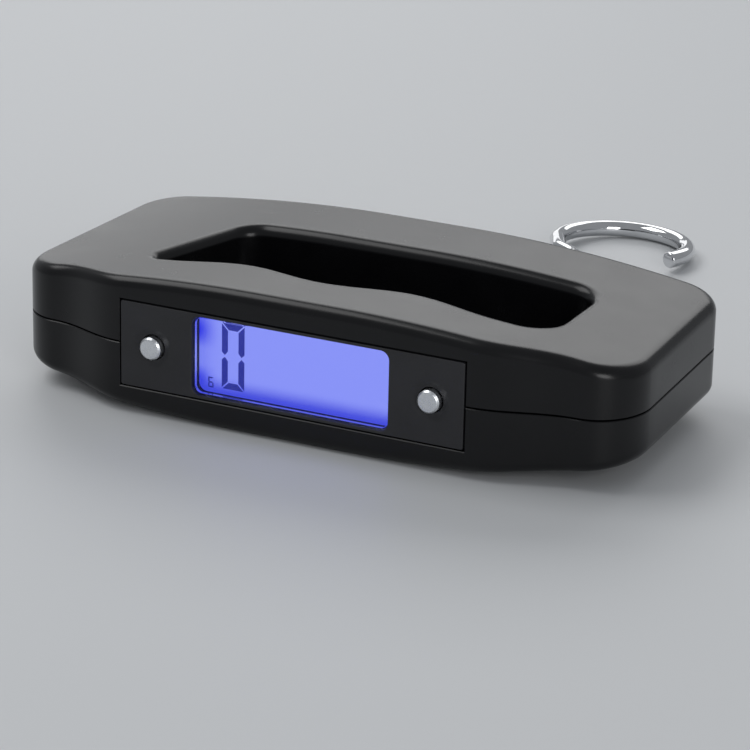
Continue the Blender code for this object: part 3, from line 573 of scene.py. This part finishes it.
def opening_outline():
    right = opening_near_edge(WAVE_END)
    near = (OPENING_HALF - OPENING_NEAR_RADIUS, OPENING_NEAR + OPENING_NEAR_RADIUS)
    far = (OPENING_HALF - OPENING_FAR_RADIUS, OPENING_FAR - OPENING_FAR_RADIUS)
    right += arc(near, OPENING_NEAR_RADIUS, OPENING_NEAR_RADIUS, -90, 0, 12)
    right += spread(right[-1], (OPENING_HALF, far[1]), 6)
    right += arc(far, OPENING_FAR_RADIUS, OPENING_FAR_RADIUS, 0, 90, 12)
    right += spread(right[-1], (0, OPENING_FAR), 18)

    near_corner = (LEFT_WALL_NEAR, OPENING_NEAR)
    far_corner = (LEFT_WALL_FAR, OPENING_FAR)
    far_arc = rounded_corner((0, OPENING_FAR), far_corner, near_corner, LEFT_FAR_RADIUS, 12)
    near_arc = rounded_corner(far_corner, near_corner, (0, OPENING_NEAR), LEFT_NEAR_RADIUS, 12)
    left = [(-x, y) for x, y in opening_near_edge(LEFT_WAVE_END)[:-2]]
    left += reversed(near_arc)
    left += spread(near_arc[0], far_arc[-1], 6)
    left += reversed(far_arc[:-1])
    left += spread(far_arc[0], (0, OPENING_FAR), 14)
    return joined(right, left)


def offset(loop, distance):
    """Move a closed anticlockwise outline sideways; a positive distance grows it."""
    moved = []
    for before, point, after in zip(loop[-1:] + loop[:-1], loop, loop[1:] + loop[:1]):
        first = (Vector(point) - Vector(before)).normalized()
        second = (Vector(after) - Vector(point)).normalized()
        along = (first + second).normalized()
        out = Vector((along.y, -along.x))
        moved.append(tuple(Vector(point) + out * distance / max(along.dot(first), 0.5)))
    return moved


def crown_drop(x):
    """How far the front and back faces fall towards the frame's ends."""
    return CROWN_RATE * max(0.0, abs(x) - CROWN_FLAT) ** 2


# ---------------------------------------------------------------- shells and doors
SEAM_CHAMFER = 0.16
RIM_BAND = 0.35
INNER_RIM_RADIUS = 0.8
SEAM_OVERRUN = 3.0
CROWN_CUT = 2.4


def half_frame(side, inset=0.0, seam=GAP / 2, radius=RIM_RADIUS):
    """Half of the grip frame as a closed solid from the seam to its crowned face.

    side is 1 for the front and -1 for the back; inset shrinks it, and a negative seam runs past the seam."""
    bm = bmesh.new()
    seams, rims = [], []
    for loop, outward in ((body_outline(), -1), (opening_outline(), 1)):
        levels = [(SEAM_CHAMFER, seam), (0.0, seam + SEAM_CHAMFER)] if not inset else [(0.0, seam)]
        rows = []
        for narrower, height in levels:
            shape = offset(loop, outward * (inset + narrower))
            rows.append([at(x, y, MID_Z + side * height) for x, y in shape])
        for fall, narrower in [*reversed(fillet(radius, 8)), (0.0, radius + RIM_BAND)]:
            shape = offset(loop, outward * (inset + narrower))
            rows.append([at(x, y, MID_Z + side * (MID_Z - crown_drop(x) - inset - fall)) for x, y in shape])
        before = set(bm.edges)
        _, last = swept(rows, ends=False, bm=bm)
        seams += [edge for edge in bm.edges if edge not in before][:len(loop)]
        rims += last
    cap = bmesh.ops.triangle_fill(bm, edges=rims, use_beauty=True)["geom"]
    faces = {part for part in cap if isinstance(part, bmesh.types.BMFace)}
    place = -SIDE_X_NEAR
    while place < SIDE_X_NEAR:
        if abs(place) > CROWN_FLAT - CROWN_CUT:
            edges = {edge for face in faces for edge in face.edges}
            verts = {vert for face in faces for vert in face.verts}
            cut = bmesh.ops.bisect_plane(bm, geom=[*faces, *edges, *verts], dist=0.0005 * MM,
                                         plane_co=at(place, 0, 0), plane_no=X_AXIS)
            faces = {part for part in cut["geom"] if isinstance(part, bmesh.types.BMFace)}
            for vert in (part for part in cut["geom_cut"] if isinstance(part, bmesh.types.BMVert)):
                if not faces.issuperset(vert.link_faces):
                    continue
                drop = crown_drop((vert.co.x - PANEL_X) / MM)
                vert.co.z = at(0, 0, MID_Z + side * (MID_Z - drop - inset)).z
        place += CROWN_CUT
    bmesh.ops.triangle_fill(bm, edges=seams, use_beauty=True)
    return closed(bm)


def shell_hollow(side):
    """The space inside one shell, run past the seam."""
    return half_frame(side, WALL, -SEAM_OVERRUN, INNER_RIM_RADIUS)


def flared_block(low, high, mouth):
    """A cutter through the panel's edge of the shells, whose mouth at y = 0 is wider by a small chamfer."""
    (x0, z0), (x1, z1) = low, high
    rows = []
    for y, grow in ((-3.0, mouth), (0.0, mouth), (mouth, 0.0), (WALL + 0.6, 0.0)):
        rows.append([at(x0 - grow, y, z0 - grow), at(x1 + grow, y, z0 - grow), at(x1 + grow, y, z1 + grow),
                     at(x0 - grow, y, z1 + grow)])
    return closed(swept(rows)[0])


def panel_gap():
    half = PANEL_HEIGHT / 2 + GAP
    return flared_block((-PANEL_HALF - GAP, MID_Z - half), (PANEL_HALF + GAP, MID_Z + half), 0.18)


def door_block(middle_x, shrink, low=-2.0, high=9.0):
    """The space of a battery door: a block with rounded corners, through the back wall."""
    rows = []
    middle = (DOOR_NEAR + DOOR_FAR) / 2
    half_y = (DOOR_FAR - DOOR_NEAR) / 2 - shrink
    outline = rounded_rectangle(DOOR_HALF - shrink, half_y, DOOR_RADIUS - shrink, 6)
    for z in (low, high):
        rows.append([at(middle_x + x, middle + y, z) for x, y in outline])
    return closed(swept(rows)[0])


def screw_post(x, y):
    return rod((x, y, 0), Z_AXIS, BOSS_RADIUS, crown_drop(x) + WALL / 2, BOSS_END)


def screw_well(x, y):
    """A chamfered well for a screw head with the clearance hole above it."""
    mouth = crown_drop(x)
    head = SCREW_HEAD_RADIUS + GAP
    shank = SCREW_RADIUS + GAP
    profile = [(0, SCREW_HOLE_END), (shank, SCREW_HOLE_END), (shank, WELL_FLOOR), (head, WELL_FLOOR),
               (head, mouth + WELL_CHAMFER), (head + WELL_CHAMFER, mouth), (head + WELL_CHAMFER, -1.0),
               (0, -1.0)]
    return turned(profile, (x, y, 0), Z_AXIS)


def make_shells():
    bush_hole = rod((0, 0, MID_Z), Y_AXIS, BUSH_NECK + GAP, *BUSH_HOLE)
    for name, side in (("front_shell", 1), ("back_shell", -1)):
        steps = [("DIFFERENCE", shell_hollow(side))]
        if side < 0:
            for x, y in CASE_SCREWS:
                steps.append(("UNION", carved(screw_post(x, y), ("INTERSECT", half_frame(side)))))
            steps += [("DIFFERENCE", screw_well(x, y)) for x, y in CASE_SCREWS]
            steps += [("DIFFERENCE", door_block(x, 0.0)) for x in CELL_X.values()]
        steps += [("DIFFERENCE", panel_gap()), ("DIFFERENCE", bush_hole.copy())]
        piece(f"{name}_moulding", carved(half_frame(side), *steps), "shell_plastic", "housing", name)
    bush_hole.free()


def make_doors():
    """Each door is the part of the back wall over its cell, with grip bars near its near end."""
    for name, x in CELL_X.items():
        steps = [("DIFFERENCE", shell_hollow(-1)), ("INTERSECT", door_block(x, GAP, high=8.0))]
        slope = math.copysign(2 * CROWN_RATE * (abs(x) - CROWN_FLAT), x)
        for number in range(GRIP_BARS):
            y = DOOR_NEAR + GRIP_START + GRIP_PITCH * number
            bar = rod((x, y, crown_drop(x) + GRIP_SINK), Vector((1, 0, slope)), GRIP_RADIUS, -GRIP_HALF,
                      GRIP_HALF, 16)
            steps.append(("UNION", bar))
        piece(f"battery_door_{name}_moulding", carved(half_frame(-1), *steps), "shell_plastic",
              f"battery_door_{name}", f"battery_door_{name}")


# ---------------------------------------------------------------- display panel, window, readout and buttons
def dish_cutter(x):
    """A shallow spherical dish whose rim rolls softly into the panel's face, with the button's hole in it."""
    hole = BUTTON_RADIUS + GAP
    hole_mouth = DISH_DEPTH * 0.85
    rim = DISH_RADIUS + DISH_ROLL
    profile = [(0, PANEL_CUT), (hole, PANEL_CUT), (hole, hole_mouth)]
    for step in range(1, 13):
        t = step / 12
        radius = hole + t * (rim - BUTTON_RADIUS - GAP)
        profile.append((radius, hole_mouth * (1 + math.cos(math.pi * t)) / 2 - 0.004 * t))
    profile += [(rim, -1.0), (0, -1.0)]
    return turned(profile, (x, 0, MID_Z), Y_AXIS)


def make_panel():
    half_z = PANEL_HEIGHT / 2
    flange = 1.5
    back = PANEL_PLATE + FLANGE_THICK
    levels = fillet(0.22) + [(PANEL_PLATE, 0.0), (PANEL_PLATE, -flange), (back, -flange)]
    mouth = [(-1.0, -0.45), (0.0, -0.45), (0.05, -0.25), (0.16, -0.08), (0.36, 0.0), (PANEL_CUT, 0.0)]
    window = slab(WINDOW_HALF, WINDOW_HEIGHT / 2, WINDOW_RADIUS, mouth)
    panel = carved(slab(PANEL_HALF, half_z, 0.5, levels), ("DIFFERENCE", window),
                   *[("DIFFERENCE", dish_cutter(sx * BUTTON_X)) for _, sx in SIDES])
    piece("display_panel_moulding", panel, "panel_plastic", "housing", "display_panel")
    half_lens = WINDOW_HEIGHT / 2 - GAP
    lens = slab(WINDOW_HALF - GAP, half_lens, WINDOW_RADIUS - GAP,
                [(LENS_FRONT, 0.12), (LENS_FRONT + 0.12, 0.0), (LENS_FRONT + LENS_THICK, 0.0)])
    piece("readout_window", lens, "lens_acrylic", "housing", "lcd_window")


def segment_outlines(width, height, thick, gap):
    """The seven bars of a digit as (x, z) outlines, named a to g as usual and mitred at the corners."""
    middle = height / 2
    left, right = thick + gap, width - thick - gap
    upright = [(0, height - gap), (thick, height - thick - gap), (thick, middle + thick * 0.6 + gap),
               (thick / 2, middle + gap), (0, middle + thick * 0.6)]
    flat = [(gap, height), (width - gap, height), (right, height - thick), (left, height - thick)]
    across = [(thick / 2 + gap, middle), (left, middle + thick / 2), (right, middle + thick / 2),
              (width - thick / 2 - gap, middle), (right, middle - thick / 2), (left, middle - thick / 2)]
    turn_over = [(x, height - z) for x, z in upright]
    return {
        "a": flat, "d": [(x, height - z) for x, z in flat], "f": upright, "e": turn_over, "g": across,
        "b": [(width - x, z) for x, z in upright], "c": [(width - x, z) for x, z in turn_over],
    }


# each digit's name, bars, lower -X corner as (x, z), and its width, height, bar thickness and gap
DIGITS = (("readout_zero", "abcdef", (-17.4, 8.1), (5.3, 14.4, 1.4, 0.22)),
          ("readout_six", "acdefg", (-20.6, 7.8), (1.25, 2.3, 0.3, 0.03)))


def make_digits():
    """A tall 0 and a small 6, just in front of the readout's glass."""
    for name, bars, corner, size in DIGITS:
        outlines = segment_outlines(*size)
        bm = bmesh.new()
        for bar in bars:
            rows = [[at(corner[0] + x, READOUT_FRONT - lift, corner[1] + z) for x, z in outlines[bar]]
                    for lift in (0.06, 0.02)]
            swept(rows, bm=bm)
        piece(name, closed(bm), "display_glass", "housing").data.materials[0] = MATERIALS["segment"]


def make_buttons():
    """Turned caps with a flat face, a chamfer and a rolled edge, above a flange and a stem."""
    flange_front = PANEL_PLATE + FLANGE_THICK + GAP
    flange_back = flange_front + BUTTON_FLANGE_THICK
    stem_end = flange_back + BUTTON_STEM_LENGTH
    profile = [(0, stem_end), (BUTTON_STEM, stem_end), (BUTTON_STEM, flange_back),
               (BUTTON_FLANGE, flange_back), (BUTTON_FLANGE, flange_front), (BUTTON_RADIUS, flange_front)]
    profile += [(BUTTON_RADIUS - inset, depth - BUTTON_PROUD) for inset, depth in CAP_EDGE]
    profile += [(1.2, 0.01 - BUTTON_PROUD), (0, -BUTTON_PROUD)]
    for name, sx in (("unit_button", -1), ("tare_button", 1)):
        cap = turned(profile, (sx * BUTTON_X, 0, MID_Z), Y_AXIS, 96)
        piece(f"{name}_cap", cap, "button_metal", name, name, sharp=50)


# ---------------------------------------------------------------- bolt, bush, ring and hook
def make_bolt():
    lip = DEPTH + GAP
    bush = [(BOLT_RADIUS + 0.4, lip + 1.3), (BOLT_RADIUS + 0.6, lip + 1.5), (BUSH_LIP - 0.5, lip + 1.5),
            (BUSH_LIP - 0.15, lip + 1.35), (BUSH_LIP, lip + 1.0), (BUSH_LIP, lip), (BUSH_NECK, lip),
            (BUSH_NECK, BUSH_START), (BOLT_RADIUS + 0.4, BUSH_START), (BOLT_RADIUS + 0.4, lip + 1.3)]
    piece("bolt_bush_moulding", turned(bush, (0, 0, MID_Z), Y_AXIS), "rubber_black", "housing", "bolt_bush")
    shank_end = EYE_Y - EYE_RING + 0.9
    profile = [(0, shank_end), (1.5, shank_end), (1.9, shank_end - 1.0), (2.2, shank_end - 1.8),
               (BOLT_RADIUS, shank_end - 2.6), (BOLT_RADIUS, BOLT_START + 0.4), (2.1, BOLT_START),
               (0, BOLT_START)]
    shank = turned(profile, (0, 0, MID_Z), Y_AXIS)
    eye = ring((0, EYE_Y, MID_Z), X_AXIS, EYE_RING, EYE_WIRE)
    piece("eye_bolt_steel", carved(shank, ("UNION", eye)), "polished_chrome", "housing", "eye_bolt")


SLIDE = math.radians(10.0)
EYE_HEIGHT = HOOK_EYE_RING + HOOK_WIRE + REST_LIFT
LINK_REACH = LINK_RING + LINK_RING * math.cos(SLIDE)
LINK_DROOP = math.asin((MID_Z - EYE_HEIGHT) / LINK_REACH)
HOOK_EYE = Vector((LINK_RING * math.sin(SLIDE), EYE_Y + LINK_REACH * math.cos(LINK_DROOP), EYE_HEIGHT))
HOOK_YAW = math.atan2(HOOK_CENTRE[0] - HOOK_EYE.x, HOOK_CENTRE[1] - HOOK_EYE.y)
HOOK_REACH = math.hypot(HOOK_CENTRE[0] - HOOK_EYE.x, HOOK_CENTRE[1] - HOOK_EYE.y)
HOOK_DROOP = math.atan2(EYE_HEIGHT - HOOK_WIRE - REST_LIFT, HOOK_REACH + HOOK_BEND)


def smooth_route(knots, per_span):
    """Points on a Catmull-Rom curve through the knots."""
    ends = [Vector(knot) for knot in knots]
    ends = [2 * ends[0] - ends[1]] + ends + [2 * ends[-1] - ends[-2]]
    route = []
    for a, b, c, d in zip(ends, ends[1:], ends[2:], ends[3:]):
        for step in range(per_span):
            t = step / per_span
            route.append(0.5 * (2 * b + (c - a) * t + (2 * a - 5 * b + 4 * c - d) * t ** 2
                                + (3 * b - a - 3 * c + d) * t ** 3))
    return route + [ends[-2]]


def wire(points, radii):
    """A round wire along points, each with its radius in mm, as a closed mesh."""
    data = bpy.data.curves.new("wire", "CURVE")
    data.dimensions = "3D"
    data.bevel_depth = MM
    data.bevel_resolution = 8
    data.use_fill_caps = True
    spline = data.splines.new("POLY")
    spline.points.add(len(points) - 1)
    for knot, point, radius in zip(spline.points, points, radii):
        knot.co = (*at(*point), 1.0)
        knot.radius = radius
    helper = bpy.data.objects.new("wire", data)
    bpy.context.scene.collection.objects.link(helper)
    bpy.context.view_layer.update()
    bm = bmesh.new()
    bm.from_mesh(helper.evaluated_get(bpy.context.evaluated_depsgraph_get()).to_mesh())
    bpy.data.objects.remove(helper, do_unlink=True)
    return closed(bm)


def bend_point(shank, degrees):
    """A point on the hook's round bend, in the hook's own (side, pull, up) directions."""
    angle = math.radians(degrees)
    return (HOOK_BEND * math.cos(angle), shank + HOOK_BEND * math.sin(angle), 0)


def make_ring_and_hook():
    along = Vector((0, math.cos(LINK_DROOP), -math.sin(LINK_DROOP)))
    centre = Vector((0, EYE_Y, MID_Z)) + along * LINK_RING
    piece("hook_ring_steel", ring(centre, X_AXIS.cross(along), LINK_RING, LINK_WIRE), "polished_chrome",
          "hook_ring", "hook_ring")

    pull = Vector((math.sin(HOOK_YAW) * math.cos(HOOK_DROOP), math.cos(HOOK_YAW) * math.cos(HOOK_DROOP),
                   -math.sin(HOOK_DROOP)))
    side = Vector((math.cos(HOOK_YAW), -math.sin(HOOK_YAW), 0))
    up = side.cross(pull)
    shank = HOOK_REACH / math.cos(HOOK_DROOP)
    route = []
    for degrees in range(26, 321, 6):
        angle = math.radians(degrees)
        route.append((0, math.cos(angle) * HOOK_EYE_RING, math.sin(angle) * HOOK_EYE_RING))
    straight = shank - HOOK_BEND - 9.0
    route += smooth_route([route[-1], (0, HOOK_EYE_RING + 2.6, -1.3), (0, HOOK_EYE_RING + 5.2, -0.3),
                           (0, HOOK_EYE_RING + 8.0, 0), (0, straight, 0)], 6)[1:-1]
    route += smooth_route([(0, straight, 0), (-2.2, straight + 6.5, 0), (-8.6, straight + 10.6, 0),
                           bend_point(shank, HOOK_BEND_START)], 9)[:-1]
    route += [bend_point(shank, degrees) for degrees in range(HOOK_BEND_START, HOOK_BEND_TIP - 1, -3)]
    points = [HOOK_EYE + side * x + pull * y + up * z for x, y, z in map(tuple, route)]
    radii = [HOOK_WIRE] * len(points)
    piece("hook_steel", wire(*rounded_ends(points, radii)), "polished_chrome", "hook", "hook", sharp=50)


def rounded_ends(points, radii):
    """Roll the wire's cut ends over by adding points that close in on the end faces."""
    roll = 0.55
    steps = [(1 - math.cos(math.pi / 2 * step / 4), math.sin(math.pi / 2 * step / 4)) for step in range(1, 5)]
    for last, before in ((0, 1), (-1, -2)):
        end = points[last]
        along = (end - points[before]).normalized()
        added = [(end + along * roll * (forward - 1.0), radii[last] - roll * narrower)
                 for narrower, forward in steps]
        places = [point for point, _ in added]
        widths = [width for _, width in added]
        points[last] = end - along * roll
        if last == 0:
            points = list(reversed(places)) + points
            radii = list(reversed(widths)) + radii
        else:
            points = points + places
            radii = radii + widths
    return points, radii


# ---------------------------------------------------------------- screws
def cross_recess(x, y):
    """A pointed cross, for a screwdriver, that enters the head from below."""
    blades = []
    for quarter in (False, True):
        rows = []
        for height, half_long, half_wide in ((SCREW_FACE - 0.5, 1.35, 0.3), (SCREW_FACE + 1.1, 0.9, 0.18)):
            corners = [(-half_long, -half_wide), (half_long, -half_wide), (half_long, half_wide),
                       (-half_long, half_wide)]
            if not quarter:
                corners = [(b, a) for a, b in corners]
            rows.append([at(x + a, y + b, height) for a, b in corners])
        blades.append(closed(swept(rows)[0]))
    return carved(blades[0], ("UNION", blades[1]))


def make_case_screws():
    profile = [(0, SCREW_TIP), (0.5, SCREW_TIP), (SCREW_RADIUS, SCREW_TAPER), (SCREW_RADIUS, SCREW_HEAD_SEAT),
               (SCREW_HEAD_RADIUS, SCREW_HEAD_SEAT)]
    profile += [(SCREW_HEAD_RADIUS - inset, height) for inset, height in SCREW_HEAD_EDGE]
    profile.append((0, SCREW_FACE))
    for number, (x, y) in enumerate(CASE_SCREWS, start=1):
        node = f"case_screw_{number}"
        screw = carved(turned(profile, (x, y, 0), Z_AXIS), ("DIFFERENCE", cross_recess(x, y)))
        piece(f"{node}_steel", screw, "zinc_steel", "housing", node)


def finish_cad_nodes():
    """The sealed inner pieces keep their shapes and get their materials."""
    shown = {
        "zinc_steel": ["load_cell_screw_1", "load_cell_screw_2", "bolt_nut"],
        "spring_steel": [f"{part}_{side}" for part in ("battery_spring", "spring_plate", "contact_plate")
                         for side, _ in SIDES],
        "beam_aluminium": ["load_cell"],
        "display_glass": ["lcd_glass"],
        "light_diffuser": ["backlight_diffuser"],
        "holder_plastic": ["lcd_holder"],
        "rubber_black": ["contact_strip"],
        "board_laminate": ["main_board"],
        "epoxy_black": ["controller_chip", "amplifier_chip", "unit_switch", "tare_switch"],
        "cell_jacket": ["battery_cell_left", "battery_cell_right"],
        "silicone_white": ["gauge_cover_near", "gauge_cover_far"],
        "lead_red": ["battery_lead_left"],
        "lead_black": ["battery_lead_right", "series_lead"],
        "lead_grey": ["gauge_lead"],
    }
    for slot, nodes in shown.items():
        for node in nodes:
            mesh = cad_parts[node].data
            mesh.materials.clear()
            mesh.materials.append(MATERIALS[slot])


# ---------------------------------------------------------------- studio
FLOOR_HALF = 3.0
WORLD_STRENGTH = 0.62
# each light's name, place, target and size in metres, and its power in watts
LIGHTS = (("key_light", (-0.55, -0.15, 0.85), (0, 0, 0.0), (0.7, 0.5), 3.2),
          ("back_light", (-0.32, 0.98, 0.72), (0, 0, 0.0), (1.3, 0.7), 5.0),
          ("horizon_light", (-0.80, 1.15, 0.20), (0, 0, 0.0), (0.7, 0.26), 0.55),
          ("front_light", (0.75, -0.75, 0.35), (0, -0.08, 0.02), (0.5, 0.5), 3.0))


def make_studio():
    floor_mesh = bpy.data.meshes.new("studio_floor")
    bm = bmesh.new()
    bmesh.ops.create_grid(bm, x_segments=1, y_segments=1, size=FLOOR_HALF)
    bm.to_mesh(floor_mesh)
    bm.free()
    floor = bpy.data.objects.new("studio_floor", floor_mesh)
    bpy.context.scene.collection.objects.link(floor)
    paint = new_material("pale_board", {"Base Color": linear("#c9cbcd"), "Roughness": 0.55})[0]
    floor_mesh.materials.append(paint)

    for name, place, target, size, power in LIGHTS:
        lamp = bpy.data.lights.new(name, "AREA")
        lamp.shape = "RECTANGLE"
        lamp.size, lamp.size_y = size
        lamp.energy = power
        holder = bpy.data.objects.new(name, lamp)
        bpy.context.scene.collection.objects.link(holder)
        aim = (Vector(target) - Vector(place)).to_track_quat("-Z", "Y")
        holder.matrix_world = Matrix.Translation(place) @ aim.to_matrix().to_4x4()
    world = bpy.data.worlds.new("studio_air")
    world.use_nodes = True
    world.node_tree.nodes["Background"].inputs["Color"].default_value = linear("#b9bcc0")
    world.node_tree.nodes["Background"].inputs["Strength"].default_value = WORLD_STRENGTH
    bpy.context.scene.world = world
    bpy.context.scene.view_settings.view_transform = "Standard"


MATERIALS["segment"] = dark_segment()
make_camera()
make_shells()
make_doors()
make_panel()
make_digits()
make_buttons()
make_bolt()
make_ring_and_hook()
make_case_screws()
finish_cad_nodes()
make_studio()
